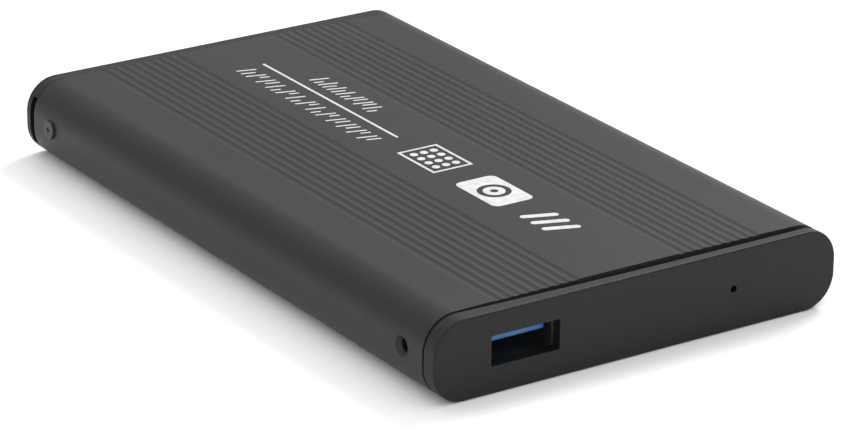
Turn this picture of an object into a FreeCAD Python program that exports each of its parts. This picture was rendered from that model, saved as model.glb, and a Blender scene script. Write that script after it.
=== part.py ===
import FreeCAD, Part
import math
import os

# Portable hard disk drive: a 2.5 inch drive on a pull-out tray, in an extruded sleeve.
# Millimetres. +X to the right seen from the socket end, -Y is the socket end, +Z up.
# The origin is the bottom centre of the whole case. Heights named *_h are above the drive's underside.

# ---------------------------------------------------------------- driving dimensions
# disks and spindle
platter_radius = 32.5
platter_bore_radius = 10.0
platter_thick = 0.7
platter_gap = 1.8
platter_side_gap = 0.825
shaft_radius = 1.5
running_clearance = 0.06
bearing_wall = 1.44

# drive casting and its stack of layers, from the bottom up
casting_wall = 1.6
board_screw_head = 0.35
drive_board_thick = 0.7
chip_room = 0.55
casting_floor = 1.2
floor_to_platter = 1.4
clamp_thick = 0.6
clamp_screw_head = 0.5
cover_gap = 0.4
cover_thick = 0.6
gasket_thick = 0.15
drive_corner_radius = 2.0
cover_screw_length = 2.2
cover_screw_sink = 0.4

# actuator
pivot_reach = 12.7            # pivot axis to the platter's edge
pivot_angle = -72.0           # direction from the spindle to the pivot, degrees
arm_overlap = 7.2             # pivot distance less the head's radius about the pivot
park_overrun = 2.4            # parked head beyond the platter's edge
inner_track_radius = 14.0
coil_bay = 22.29              # pivot axis to the drive's connector end
coil_inner_radius = 7.4
coil_outer_radius = 15.8
coil_half_angle = 21.0
coil_thick = 1.2
slider_gap = 0.12

# drive standard places
side_hole_first = 14.0
side_hole_last = 90.6
side_hole_height = 3.0
bottom_hole_spacing = 61.72
m3_tap_radius = 1.25

# case
sleeve_wall = 1.25
case_corner_radius = 5.7
roof_crown = 0.25
side_gap = 2.825              # drive to the sleeve's side wall
floor_gap = 0.6               # sleeve floor to the drive
foam_thick = 0.95
foam_gap = 0.25
cap_plate = 2.8
cap_relief = 1.1              # hollow of the front plate's inner edge, which is sprung open
cap_relief_x = 20.0           # where that hollow is deepest
cap_edge_break = 0.4
seam_gap = 0.5                # front cap to sleeve, its screws not yet in
rear_seam_gap = 0.1           # rear cap, drawn home by its screws
pry_notch_depth = 1.3         # finger notch in each side of the rear cap's plate
pry_notch_height = 8.4
board_bay = 15.3              # front plate to the drive
rear_bay = 8.3                # drive to the rear plate
insert_clearance = 0.3
skirt_thick = 1.2
skirt_depth = 3.3
ear_thick = 4.05
ear_past_screw = 2.1
ear_height = 5.6
groove_count = 9
groove_pitch = 1.83
groove_first = 10.4
groove_width = 1.6
groove_depth = 0.14

# case screws
screw_height = 7.3
front_screw_inset = 5.7       # from the sleeve's end
rear_screw_inset = 5.8
screw_head_radius = 1.7
screw_shank_radius = 1.0
screw_tap_radius = 0.85
head_clearance = 0.06
countersink_depth = 0.7
screw_rise = 0.45             # raised head above the sleeve's side
screw_edge_round = 0.15
screw_slot_width = 0.28
screw_slot_depth = 0.4
screw_slot_length = 1.2

# front socket and status light
usb_x = -21.95
usb_z = 7.2
usb_inner_width = 12.5
usb_inner_height = 5.12
usb_shell_wall = 0.3
usb_length = 12.9
usb_front_wall = 2.0
usb_window_margin = 0.2
usb_tongue_side_gap = 0.7
usb_tongue_thick = 1.84
usb_tongue_setback = 1.0
led_x = 18.4
led_hole_radius = 0.6
led_radius = 1.45

# boards
bridge_board_thick = 1.2
board_clearance = 0.3
chip_row_setback = 4.55       # chips' middle to the front of the drive's socket
drive_board_half_width = 28.0
drive_board_length = 54.9

# drive connector, 22 contacts on two blades
sata_edge = 4.55              # connector's end to the drive's side
sata_power_width = 20.6
sata_signal_width = 10.4
sata_blade_gap = 2.4
sata_blade_thick = 1.2
sata_height = 4.35            # blade centre above the drive's underside
sata_pitch = 1.27
sata_slot_clearance = 0.25

# ---------------------------------------------------------------- worked-out sizes
drive_half_width = platter_radius + platter_side_gap + casting_wall
pivot_distance = platter_radius + pivot_reach
pivot_run = pivot_distance * math.sin(math.radians(-pivot_angle))
drive_length = drive_half_width + pivot_run + coil_bay

floor_under_h = board_screw_head + drive_board_thick + chip_room
floor_top_h = floor_under_h + casting_floor
disk1_h = floor_top_h + floor_to_platter
disk2_h = disk1_h + platter_thick + platter_gap
clamp_h = disk2_h + platter_thick
cover_h = clamp_h + clamp_thick + clamp_screw_head + cover_gap
drive_height = cover_h + cover_thick
casting_top_h = cover_h - gasket_thick

inner_half = drive_half_width + side_gap
case_half = inner_half + sleeve_wall
inner_low = sleeve_wall
drive_z = inner_low + floor_gap
inner_high = drive_z + drive_height + foam_gap + foam_thick
case_height = inner_high + sleeve_wall
inner_radius = case_corner_radius - sleeve_wall

case_length = 2 * cap_plate + board_bay + drive_length + rear_bay
front_face = -case_length / 2
rear_face = case_length / 2
front_plate = front_face + cap_plate
rear_plate = rear_face - cap_plate
sleeve_front = front_plate + seam_gap
sleeve_rear = rear_plate - rear_seam_gap
drive_front = front_plate + board_bay
drive_rear = drive_front + drive_length
front_screw_y = sleeve_front + front_screw_inset
rear_screw_y = sleeve_rear - rear_screw_inset

spindle_x = 0.0
spindle_y = drive_rear - drive_half_width
pivot_x = spindle_x + pivot_distance * math.cos(math.radians(pivot_angle))
pivot_y = spindle_y + pivot_distance * math.sin(math.radians(pivot_angle))
head_reach = pivot_distance - arm_overlap
to_spindle = pivot_angle + 180.0


def swing_for(radius):
    """Angle at the pivot, from the line to the spindle, that puts the heads at this disk radius."""
    num = pivot_distance ** 2 + head_reach ** 2 - radius ** 2
    return math.degrees(math.acos(num / (2 * pivot_distance * head_reach)))


park_angle = to_spindle + swing_for(platter_radius + park_overrun)
arm_travel = swing_for(platter_radius + park_overrun) - swing_for(inner_track_radius)

board_top = usb_z - usb_inner_height / 2 - usb_shell_wall
board_low = board_top - bridge_board_thick
sata_width = sata_power_width + sata_blade_gap + sata_signal_width
sata_left = -drive_half_width + sata_edge
sata_right = sata_left + sata_width
sata_z = drive_z + sata_height
sata_mate = drive_front + 4.7         # root of the drive's connector blades


# ---------------------------------------------------------------- shape helpers
def block(x0, x1, y0, y1, z0, z1):
    return Part.makeBox(x1 - x0, y1 - y0, z1 - z0, FreeCAD.Vector(x0, y0, z0))


def disc(x, y, z0, z1, radius):
    return Part.makeCylinder(radius, z1 - z0, FreeCAD.Vector(x, y, z0))


def ring(x, y, z0, z1, inner, outer):
    return disc(x, y, z0, z1, outer).cut(disc(x, y, z0 - 1, z1 + 1, inner))


def rod_x(x0, x1, y, z, radius):
    low = min(x0, x1)
    return Part.makeCylinder(radius, abs(x1 - x0), FreeCAD.Vector(low, y, z), FreeCAD.Vector(1, 0, 0))


def rod_y(x, y0, y1, z, radius):
    return Part.makeCylinder(radius, y1 - y0, FreeCAD.Vector(x, y0, z), FreeCAD.Vector(0, 1, 0))


def joined(shapes):
    return shapes[0].multiFuse(shapes[1:]).removeSplitter()


def without(shape, cutters):
    return shape.cut(Part.makeCompound(cutters)) if len(cutters) > 1 else shape.cut(cutters[0])


def rounded_block(x0, x1, y0, y1, z0, z1, radius):
    """A block with round corners in plan."""
    return round_upright(block(x0, x1, y0, y1, z0, z1), radius)


def round_upright(shape, radius):
    upright = [e for e in shape.Edges if abs(e.Vertexes[0].Z - e.Vertexes[-1].Z) > 1e-6]
    return shape.makeFillet(radius, upright)


def tube_section(half, low, high, radius, crown, y0, y1):
    """A lengthwise bar with the case's rounded section, its top crowned by the given rise."""
    v = FreeCAD.Vector
    diagonal = radius * math.sqrt(0.5)
    flat = half - radius

    def corner(sx, z_mid, sz):
        middle = v(sx * (flat + diagonal), y0, z_mid + sz * diagonal)
        side = v(sx * half, y0, z_mid)
        end = v(sx * flat, y0, z_mid + sz * radius)
        return Part.Arc(side, middle, end).toShape()

    top = Part.makeLine(v(-flat, y0, high), v(flat, y0, high))
    if crown > 0:
        top = Part.Arc(v(-flat, y0, high), v(0, y0, high + crown), v(flat, y0, high)).toShape()
    bottom = Part.makeLine(v(-flat, y0, low), v(flat, y0, low))
    sides = [Part.makeLine(v(s * half, y0, low + radius), v(s * half, y0, high - radius)) for s in (-1, 1)]
    corners = [corner(s, low + radius, -1) for s in (-1, 1)] + [corner(s, high - radius, 1) for s in (-1, 1)]
    edges = Part.__sortEdges__([top, bottom] + sides + corners)
    return Part.Face(Part.Wire(edges)).extrude(v(0, y1 - y0, 0))


def insert_section(margin, y0, y1):
    """What fits inside the sleeve with this much room all round."""
    return tube_section(inner_half - margin, inner_low + margin, inner_high - margin,
                        inner_radius - margin, 0, y0, y1)


def sector(x, y, z0, z1, r0, r1, angle0, angle1):
    """Part of a flat ring about (x, y), from angle0 to angle1 in degrees."""
    def at(radius, angle):
        a = math.radians(angle)
        return FreeCAD.Vector(x + radius * math.cos(a), y + radius * math.sin(a), z0)
    middle = (angle0 + angle1) / 2
    edges = [Part.Arc(at(r0, angle0), at(r0, middle), at(r0, angle1)).toShape(),
             Part.makeLine(at(r0, angle1), at(r1, angle1)),
             Part.Arc(at(r1, angle1), at(r1, middle), at(r1, angle0)).toShape(),
             Part.makeLine(at(r1, angle0), at(r0, angle0))]
    return Part.Face(Part.Wire(edges)).extrude(FreeCAD.Vector(0, 0, z1 - z0))


def plate(points, z0, z1):
    """A flat plate with this outline."""
    outline = [FreeCAD.Vector(x, y, z0) for x, y in points]
    return Part.Face(Part.makePolygon(outline + outline[:1])).extrude(FreeCAD.Vector(0, 0, z1 - z0))


def turned(shape, x, y, angle):
    copy = shape.copy()
    copy.rotate(FreeCAD.Vector(x, y, 0), FreeCAD.Vector(0, 0, 1), angle)
    return copy


def polar(x, y, radius, angle):
    a = math.radians(angle)
    return x + radius * math.cos(a), y + radius * math.sin(a)


def group(shapes):
    return Part.makeCompound(shapes)


def cross_recess(width, depth, length):
    """A cross-shaped driver recess, opening upwards at the origin."""
    one = block(-length / 2, length / 2, -width / 2, width / 2, -depth, 1)
    return one.fuse(turned(one, 0, 0, 90))


def pan_screw(x, y, head_z, head_radius, head_height, shank_radius, shank_length, up):
    """A pan-head screw standing at (x, y), head seat at head_z. up is 1, or -1 to point it down."""
    head = disc(0, 0, 0, head_height, head_radius)
    head = head.makeFillet(head_height * 0.45, [head.Edges[0] if head.Edges[0].CenterOfMass.z
                                                > head_height / 2 else head.Edges[2]])
    screw = head.fuse(disc(0, 0, -shank_length, 0, shank_radius))
    recess = cross_recess(head_radius * 0.24, head_height * 0.6, head_radius * 1.2)
    recess.translate(FreeCAD.Vector(0, 0, head_height))
    screw = screw.cut(recess)
    if up < 0:
        screw.rotate(FreeCAD.Vector(0, 0, 0), FreeCAD.Vector(1, 0, 0), 180)
    screw.translate(FreeCAD.Vector(x, y, head_z))
    return screw


# ---------------------------------------------------------------- case
def roof_height(x):
    flat = case_half - case_corner_radius
    return case_height + roof_crown * (1 - (x / flat) ** 2)


def groove(x):
    """A shallow round flute along the whole sleeve."""
    radius = (groove_width ** 2 / 4 + groove_depth ** 2) / (2 * groove_depth)
    start = FreeCAD.Vector(x, sleeve_front - 1, roof_height(x) - groove_depth + radius)
    return Part.makeCylinder(radius, sleeve_rear - sleeve_front + 2, start, FreeCAD.Vector(0, 1, 0))


def countersunk_hole(side, y):
    """The cutter for one countersunk screw hole in the sleeve's side."""
    inwards = FreeCAD.Vector(-side, 0, 0)
    surface = FreeCAD.Vector(side * case_half, y, screw_height)
    cone = Part.makeCone(screw_head_radius + head_clearance, screw_shank_radius + head_clearance,
                         countersink_depth, surface, inwards)
    bore = Part.makeCylinder(screw_shank_radius + head_clearance, sleeve_wall + 1, surface, inwards)
    return joined([cone, bore])


def case_sleeve():
    outer = tube_section(case_half, 0, case_height, case_corner_radius, roof_crown, sleeve_front, sleeve_rear)
    inner = tube_section(inner_half, inner_low, inner_high, inner_radius, 0,
                         sleeve_front - 1, sleeve_rear + 1)
    xs = [side * (groove_first + i * groove_pitch) for side in (-1, 1) for i in range(groove_count)]
    holes = [countersunk_hole(side, y) for side in (-1, 1) for y in (front_screw_y, rear_screw_y)]
    return without(outer.cut(inner), [groove(x) for x in xs] + holes)


def cap_plate_shape(end, relief):
    """The outer plate of an end cap. end is -1 at the front, 1 at the rear."""
    outside = end * case_length / 2
    inside = outside - end * cap_plate
    low, high = sorted((outside, inside))
    body = tube_section(case_half, 0, case_height, case_corner_radius, 0, low, high)
    outer_edges = [e for e in body.Edges if all(abs(p.Y - outside) < 1e-6 for p in e.Vertexes)]
    body = body.makeFillet(cap_edge_break, outer_edges)
    if relief == 0:
        return body
    half_chord = case_half + cap_relief_x
    relief_radius = (half_chord ** 2 + relief ** 2) / (2 * relief)
    centre = inside + end * relief - end * relief_radius
    return body.cut(disc(cap_relief_x, centre, -1, case_height + 1, relief_radius))


def cap_body(end, screw_y, relief):
    """An end cap: plate, locating skirt and two screw ears."""
    inside = end * (case_length / 2 - cap_plate)
    root = inside + end * (relief + 0.2)
    ear_end = screw_y - end * ear_past_screw
    ear_out = inner_half - insert_clearance
    ear_in = ear_out - ear_thick
    skirt_low, skirt_high = sorted((root, inside - end * skirt_depth))
    ear_low, ear_high = sorted((root, ear_end))
    skirt = insert_section(insert_clearance, skirt_low, skirt_high)
    hollow = insert_section(insert_clearance + skirt_thick, skirt_low - 1, skirt_high + 1)
    limit = insert_section(insert_clearance, ear_low - 1, ear_high + 1)
    ears = []
    taps = []
    for side in (-1, 1):
        x0, x1 = sorted((side * ear_in, side * ear_out))
        ear = block(x0, x1, ear_low, ear_high, screw_height - ear_height / 2, screw_height + ear_height / 2)
        ears.append(ear.common(limit))
        taps.append(rod_x(side * (ear_in - 1), side * (ear_out + 1), screw_y, screw_height, screw_tap_radius))
    body = joined([cap_plate_shape(end, relief), skirt.cut(hollow)] + ears)
    return without(body, taps)


def rear_cap():
    middle = case_height / 2
    low, high = middle - pry_notch_height / 2, middle + pry_notch_height / 2
    notches = []
    for side in (-1, 1):
        x0, x1 = sorted((side * (inner_half - insert_clearance), side * (case_half + 1)))
        notches.append(block(x0, x1, rear_plate - 1, rear_plate + pry_notch_depth, low, high))
    return without(cap_body(1, rear_screw_y, 0), notches)


def case_screw(side, y):
    """A countersunk cross-head screw through the sleeve's side, its head raised above the surface."""
    inwards = FreeCAD.Vector(-side, 0, 0)
    outwards = FreeCAD.Vector(side, 0, 0)
    head_radius = screw_head_radius - 0.05
    top = side * (case_half + screw_rise)
    surface = FreeCAD.Vector(side * case_half, y, screw_height)
    cone = Part.makeCone(head_radius, screw_shank_radius, countersink_depth, surface, inwards)
    crown = Part.makeCylinder(head_radius, screw_rise, surface, outwards)
    rim = [e for e in crown.Edges if all(abs(p.X - top) < 1e-6 for p in e.Vertexes)]
    crown = crown.makeFillet(screw_edge_round, rim)
    shank_start = FreeCAD.Vector(side * (case_half - countersink_depth), y, screw_height)
    plain_length = sleeve_wall - countersink_depth
    plain = Part.makeCylinder(screw_shank_radius, plain_length, shank_start, inwards)
    thread_start = FreeCAD.Vector(side * inner_half, y, screw_height)
    thread = Part.makeCylinder(screw_tap_radius, ear_thick, thread_start, inwards)
    recess = cross_recess(screw_slot_width, screw_slot_depth, screw_slot_length)
    recess.rotate(FreeCAD.Vector(0, 0, 0), FreeCAD.Vector(0, 1, 0), side * 90)
    recess.translate(FreeCAD.Vector(top, y, screw_height))
    return joined([cone, crown, plain, thread]).cut(recess)


def roof_foam_pad():
    length = drive_length / 2
    return rounded_block(-20, 20, spindle_y - length / 2, spindle_y + length / 2,
                         inner_high - foam_thick, inner_high, 2.0)


# ---------------------------------------------------------------- front cap and bridge board
def front_cap():
    body = cap_body(-1, front_screw_y, cap_relief)
    half = usb_inner_width / 2 + usb_window_margin
    tall = usb_inner_height / 2
    window = block(usb_x - half, usb_x + half, front_face - 1, drive_front, usb_z - tall, usb_z + tall)
    along = [e for e in window.Edges if abs(e.Vertexes[0].Y - e.Vertexes[-1].Y) > 1e-6]
    window = window.makeFillet(0.3, along)
    wide = usb_inner_width / 2 + usb_shell_wall + 0.15
    high = usb_inner_height / 2 + usb_shell_wall + 0.15
    pocket = block(usb_x - wide, usb_x + wide, usb_front(), drive_front, usb_z - high, usb_z + high)
    led_hole = rod_y(led_x, front_face - 1, drive_front, usb_z, led_hole_radius)
    led_pocket = rod_y(led_x, front_face + 1.8, drive_front, usb_z, led_radius + 0.2)
    bosses = [boss(side) for side in (-1, 1)]
    body = joined([body] + bosses)
    taps = [disc(side * boss_x(), boss_y(), board_low - 1.4, board_low + 1, 0.6) for side in (-1, 1)]
    return without(body, [window, pocket, led_hole, led_pocket] + taps)


def boss_x():
    return inner_half - insert_clearance - ear_thick - 2.4


def boss_y():
    return front_plate + 4.2


def boss(side):
    """A ledge on the front cap that the bridge board is screwed to."""
    half = 2.3
    ledge = block(side * boss_x() - half, side * boss_x() + half, front_plate - cap_relief - 0.2,
                  boss_y() + half, inner_low + insert_clearance, board_low)
    return ledge.common(insert_section(insert_clearance, front_face, drive_front))


def bridge_board():
    half = inner_half - insert_clearance - ear_thick - board_clearance
    body = rounded_block(-half, half, front_plate + 0.2, drive_front - 0.8, board_low, board_top, 0.8)
    holes = [disc(side * boss_x(), boss_y(), board_low - 1, board_top + 1, 0.95) for side in (-1, 1)]
    holes += [disc(led_x + dx, led_lead_y(), board_low - 1, board_top + 1, 0.4) for dx in (-0.64, 0.64)]
    return without(body, holes)


def board_screws():
    return group([pan_screw(side * boss_x(), boss_y(), board_top, 1.7, 1.1, 0.6, 2.4, 1) for side in (-1, 1)])


def usb_front():
    return front_face + usb_front_wall


def usb_rear():
    return usb_front() + usb_length


def usb_shell():
    half = usb_inner_width / 2
    tall = usb_inner_height / 2
    wall = usb_shell_wall
    outer = block(usb_x - half - wall, usb_x + half + wall, usb_front(), usb_rear(),
                  usb_z - tall - wall, usb_z + tall + wall)
    inner = block(usb_x - half, usb_x + half, usb_front() - 1, usb_rear() + 1, usb_z - tall, usb_z + tall)
    along = [e for e in outer.Edges if abs(e.Vertexes[0].Y - e.Vertexes[-1].Y) > 1e-6]
    body = outer.makeFillet(0.5, along).cut(inner)
    roof = usb_z + tall
    leaf_half, leaf_length, leaf_slot = 1.35, 5.0, 0.25
    leaf_start = usb_front() + 1.6
    cuts = []
    for x in (usb_x - usb_inner_width / 4, usb_x + usb_inner_width / 4):      # two leaf springs in the roof
        slot = block(x - leaf_half, x + leaf_half, leaf_start, leaf_start + leaf_length, roof - 1, roof + 1)
        half_leaf = leaf_half - leaf_slot
        leaf = block(x - half_leaf, x + half_leaf, leaf_start + leaf_slot, leaf_start + leaf_length,
                     roof - 1, roof + 1)
        cuts.append(slot.cut(leaf))
    return without(body, cuts)


def usb_tongue():
    half = usb_inner_width / 2 - 0.02
    tall = usb_inner_height / 2 - 0.02
    back = block(usb_x - half, usb_x + half, usb_rear() - 2.2, usb_rear(), usb_z - tall, usb_z + tall)
    tip = usb_front() + usb_tongue_setback
    tongue_half = usb_inner_width / 2 - usb_tongue_side_gap
    tongue = block(usb_x - tongue_half, usb_x + tongue_half, tip, usb_rear() - 2.2,
                   usb_z + 0.1, usb_z + 0.1 + usb_tongue_thick)
    lip = [e for e in tongue.Edges if all(abs(p.Y - tip) < 1e-6 for p in e.Vertexes)]
    return joined([back, tongue.makeChamfer(0.25, lip)])


def usb_contacts():
    """Five flat pads at the tongue's tip and four spring strips behind them."""
    low = usb_z + 0.1 - 0.15
    tip = usb_front() + usb_tongue_setback
    pads = [block(usb_x + x - 0.35, usb_x + x + 0.35, tip + 0.5, tip + 2.6, low, usb_z + 0.1)
            for x in (-4, -2, 0, 2, 4)]
    strips = [block(usb_x + x - 0.5, usb_x + x + 0.5, tip + 3.2, usb_rear() - 2.2, low, usb_z + 0.1)
              for x in (-3.5, -1, 1, 3.5)]
    return group(pads + strips)


def sata_blades():
    """Left and right ends of the two connector blades, power first."""
    return [(sata_left, sata_left + sata_power_width), (sata_right - sata_signal_width, sata_right)]


def contact_places():
    """Middles of the 22 contacts, 15 on the power blade and 7 on the signal blade."""
    places = []
    for (x0, x1), count in zip(sata_blades(), (15, 7)):
        middle = (x0 + x1) / 2
        places += [middle + (i - (count - 1) / 2) * sata_pitch for i in range(count)]
    return places


def socket_front():
    return usb_rear() + 0.1


def socket_rear():
    return sata_mate - 0.2


def sata_socket():
    clear = sata_slot_clearance
    x0 = sata_left - 1.0
    x1 = sata_right + 1.0
    slot_low = sata_z - sata_blade_thick / 2 - clear
    slot_high = sata_z + sata_blade_thick / 2 + clear
    underside = slot_low - 0.9
    top = slot_high + 1.2
    body = block(x0, x1, socket_front(), socket_rear(), underside, top)
    foot = block(x0, x1, socket_front(), drive_front - 0.8, board_top, top)
    lip = block(x0 - 2, x1 + 2, drive_front - 0.8, socket_rear() + 1, 0, underside)
    slots = [block(a - clear, b + clear, drive_front - 0.1, socket_rear() + 1, slot_low, slot_high)
             for a, b in sata_blades()]
    body = joined([body, foot]).cut(lip)
    return without(body, slots + [block(x0 - 1, x1 + 1, socket_front() - 1, drive_front - 0.8, 0, board_top)])


def sata_socket_contacts():
    floor = sata_z - sata_blade_thick / 2 - sata_slot_clearance
    return group([block(x - 0.3, x + 0.3, drive_front + 0.2, socket_rear() - 0.3, floor, floor + 0.09)
                  for x in contact_places()])


def chip(x, y, z, size_x, size_y, height):
    """A moulded chip package with a small chamfer and a dimple at its first corner."""
    body = block(x - size_x / 2, x + size_x / 2, y - size_y / 2, y + size_y / 2, z, z + height)
    top = [e for e in body.Edges if all(abs(p.Z - z - height) < 1e-6 for p in e.Vertexes)]
    body = body.makeChamfer(min(0.12, height / 4), top)
    dimple = disc(x - size_x / 2 + 0.8, y - size_y / 2 + 0.8, z + height - 0.06, z + height + 1, 0.25)
    return body.cut(dimple)


def legged_chip(x, y, z, size_x, size_y, height, pitch, count):
    """A chip with flat leads along its two long sides."""
    shapes = [chip(x, y, z + 0.12, size_x, size_y, height)]
    for i in range(count):
        px = x + (i - (count - 1) / 2) * pitch
        reach = size_y / 2 + 0.9
        shapes.append(block(px - pitch / 5, px + pitch / 5, y - reach, y + reach, z, z + 0.12))
    return joined(shapes)


def chip_row():
    """Middle of the row of chips, held clear of the drive's socket."""
    return socket_front() - chip_row_setback


def bridge_chip():
    y = chip_row() - 0.4
    core = chip(0, 0, 0.12, 7.0, 7.0, 0.9)
    leads = []
    for quarter in range(4):
        for i in range(12):
            lead = block(-0.11 + (i - 5.5) * 0.5, 0.11 + (i - 5.5) * 0.5, 3.3, 4.4, 0, 0.12)
            leads.append(turned(lead, 0, 0, quarter * 90))
    body = joined([core] + leads)
    body.translate(FreeCAD.Vector(1.0, y, board_top))
    return body


def flash_chip():
    return legged_chip(11.0, chip_row(), board_top, 5.0, 4.0, 1.4, 1.27, 4)


def crystal():
    x, y = -9.0, chip_row() - 1.95
    return rounded_block(x - 1.6, x + 1.6, y - 1.25, y + 1.25, board_top, board_top + 0.8, 0.4)


def power_inductor():
    x = 25.0
    y = drive_front - 4.0
    base = rounded_block(x - 2.0, x + 2.0, y - 2.0, y + 2.0, board_top, board_top + 1.8, 0.5)
    return base.cut(ring(x, y, board_top + 1.6, board_top + 3, 0.9, 1.15))


def board_passives():
    """Small capacitors and resistors in two rows beside the chips."""
    row_front = front_plate + 2.6
    row_rear = drive_front - 2.4
    places = [(-11.0 + i * 2.0, row_front) for i in range(5)] + [(5.4 + i * 2.0, row_rear) for i in range(7)]
    places += [(20.6, chip_row() + i * 1.6) for i in (-1, 0, 1)]
    return group([block(x - 0.5, x + 0.5, y - 0.28, y + 0.28, board_top, board_top + 0.5) for x, y in places])


def led_back():
    return front_face + 1.9 + 3.6


def led_lead_y():
    return led_back() + 1.0


def status_led():
    front = front_face + 1.9
    ball = Part.makeSphere(led_radius, FreeCAD.Vector(led_x, front + led_radius, usb_z))
    dome = ball.common(block(led_x - 3, led_x + 3, front, front + led_radius, usb_z - 3, usb_z + 3))
    barrel = rod_y(led_x, front + led_radius, led_back(), usb_z, led_radius)
    return joined([dome, barrel])


def led_leads():
    leads = []
    for dx in (-0.64, 0.64):
        x = led_x + dx
        run = block(x - 0.2, x + 0.2, led_back(), led_lead_y() + 0.2, usb_z - 0.2, usb_z + 0.2)
        drop = block(x - 0.2, x + 0.2, led_lead_y() - 0.2, led_lead_y() + 0.2, board_low - 0.4, usb_z + 0.2)
        leads.append(joined([run, drop]))
    return group(leads)


# ---------------------------------------------------------------- drive body
def h(height):
    """A height above the drive's underside as a height above the floor that the case stands on."""
    return drive_z + height


def bay_cutters(grow, z0, z1):
    """The room inside the casting: round the platters, and the actuator's bay with its coil pocket."""
    platters = disc(spindle_x, spindle_y, z0, z1, platter_radius + platter_side_gap + grow)
    left = -(drive_half_width - 6.4) - grow
    right = drive_half_width - 6.9 + grow
    pocket_right = drive_half_width - 1.9 + grow
    bay = block(left, right, drive_front + 8.6 - grow, spindle_y - platter_radius * 0.45, z0, z1)
    pocket = block(sata_right + 2.6 - grow, pocket_right, drive_front + 2.4 - grow,
                   pivot_y + 16.4 + grow, z0, z1)
    return [platters, round_upright(bay, 1.5), round_upright(pocket, 1.5)]


def cup_radius():
    return platter_bore_radius + 2.2


def corner_screws():
    """Cover screw places: four corners, two beside the bay, and the pivot."""
    x = drive_half_width - 3.0
    places = [(side * x, y) for side in (-1, 1) for y in (drive_front + 3.2, drive_rear - 3.2)]
    places += [(side * x, pivot_y + 20.4) for side in (-1, 1)]
    return places


def board_screw_places():
    x = drive_board_half_width - 3.0
    rear = drive_front + drive_board_length - 4.0
    return [(x, drive_front + 5.0), (-x, drive_front + 14.0), (x, rear), (-x, rear),
            (0.0, drive_front + 30.0)]


def mount_ys():
    return [drive_front + side_hole_first, drive_front + side_hole_last]


def board_pocket():
    """The recess under the casting that the drive's board lies in."""
    half = drive_board_half_width + 0.3
    end = drive_front + drive_board_length + 0.3
    pocket = block(-half, half, drive_front - 1, end, h(-1), h(floor_under_h))
    return pocket.cut(disc(spindle_x, spindle_y, h(-2), h(floor_under_h + 1), cup_radius() + 0.8))


def drive_base():
    body = rounded_block(-drive_half_width, drive_half_width, drive_front, drive_rear, h(0), h(casting_top_h),
                         drive_corner_radius)
    body = body.cut(joined(bay_cutters(0, h(floor_top_h), h(casting_top_h + 1))))
    body = body.cut(board_pocket())
    body = body.cut(disc(spindle_x, spindle_y, h(1.0), h(floor_top_h + 1), cup_radius()))
    additions = [ring(spindle_x, spindle_y, h(0.8), h(2.3), bearing_radius(), 4.2)]
    additions += [disc(x, y, h(board_screw_head + drive_board_thick), h(floor_under_h + 0.2), 1.5)
                  for x, y in board_screw_places()]
    for side in (-1, 1):
        outside = side * drive_half_width
        inside = side * (drive_half_width - 3.7)
        for y in mount_ys():
            additions.append(block(min(inside, outside), max(inside, outside), y - 3.2, y + 3.2,
                                   h(floor_under_h), h(side_hole_height + m3_tap_radius + 0.9)))
    latch_x, latch_y = latch_place()
    additions.append(disc(latch_x, latch_y, h(floor_top_h - 0.2), h(latch_h() - 0.1), 1.6))
    additions.append(disc(latch_x, latch_y, h(floor_top_h - 0.2), h(latch_h() + 1.3), 0.8))
    body = joined([body] + additions)
    tip = drive_height - cover_screw_sink - cover_screw_length
    cuts = [disc(x, y, h(tip), h(casting_top_h + 1), 0.7) for x, y in corner_screws()]
    cuts += [disc(x, y, h(0), h(floor_under_h + 0.9), 0.6) for x, y in board_screw_places()]
    for y in mount_ys():
        for side in (-1, 1):
            cuts.append(rod_x(side * (drive_half_width - 2.6), side * (drive_half_width + 1), y,
                              h(side_hole_height), m3_tap_radius))
            cuts.append(disc(side * bottom_hole_spacing / 2, y, h(-1), h(floor_under_h + 0.8), m3_tap_radius))
    cuts.append(block(sata_left - 1.6, sata_right + 1.6, drive_front - 1, sata_mate + 2.6,
                      h(-1), h(sata_height + 2.5)))
    cuts.append(disc(spindle_x, spindle_y, h(0.8), h(2.4), bearing_radius()))
    cuts.append(flex_slot())
    return without(body, cuts)


def cover_outline(inset, z0, z1):
    half = drive_half_width - inset
    return rounded_block(-half, half, drive_front + inset, drive_rear - inset, z0, z1,
                         drive_corner_radius - inset * 0.5)


def label_rect(inset, z0, z1):
    half = drive_half_width - 6.2 - inset
    return rounded_block(-half, half, drive_front + 12.0 + inset, drive_rear - 9.0 - inset, z0, z1, 2.0)


def drive_cover():
    body = cover_outline(0.35, h(cover_h), h(drive_height))
    top = [e for e in body.Edges if all(abs(p.Z - h(drive_height)) < 1e-6 for p in e.Vertexes)]
    body = body.makeChamfer(0.2, top)
    cuts = [label_rect(0, h(drive_height - 0.14), h(drive_height + 1))]
    for x, y in corner_screws():
        cuts.append(disc(x, y, h(drive_height - cover_screw_sink), h(drive_height + 1), 2.0))
        cuts.append(disc(x, y, h(cover_h - 1), h(drive_height + 1), 0.95))
    cuts.append(disc(-15, drive_front + 9.5, h(cover_h - 1), h(drive_height + 1), 0.5))
    return without(body, cuts)


def cover_gasket():
    body = cover_outline(0.8, h(casting_top_h), h(cover_h))
    body = body.cut(joined(bay_cutters(0.35, h(casting_top_h - 1), h(cover_h + 1))))
    holes = [disc(x, y, h(casting_top_h - 1), h(cover_h + 1), 1.2) for x, y in corner_screws()]
    return without(body, holes)


def cover_screws():
    seat = h(drive_height - cover_screw_sink)
    return group([pan_screw(x, y, seat, 1.7, cover_screw_sink - 0.04, 0.7, cover_screw_length, 1)
                  for x, y in corner_screws()])


def drive_label():
    return label_rect(0.25, h(drive_height - 0.14), h(drive_height - 0.04))


def breather_filter():
    return disc(-15, drive_front + 11.8, h(cover_h - 0.5), h(cover_h), 1.8)


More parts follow.
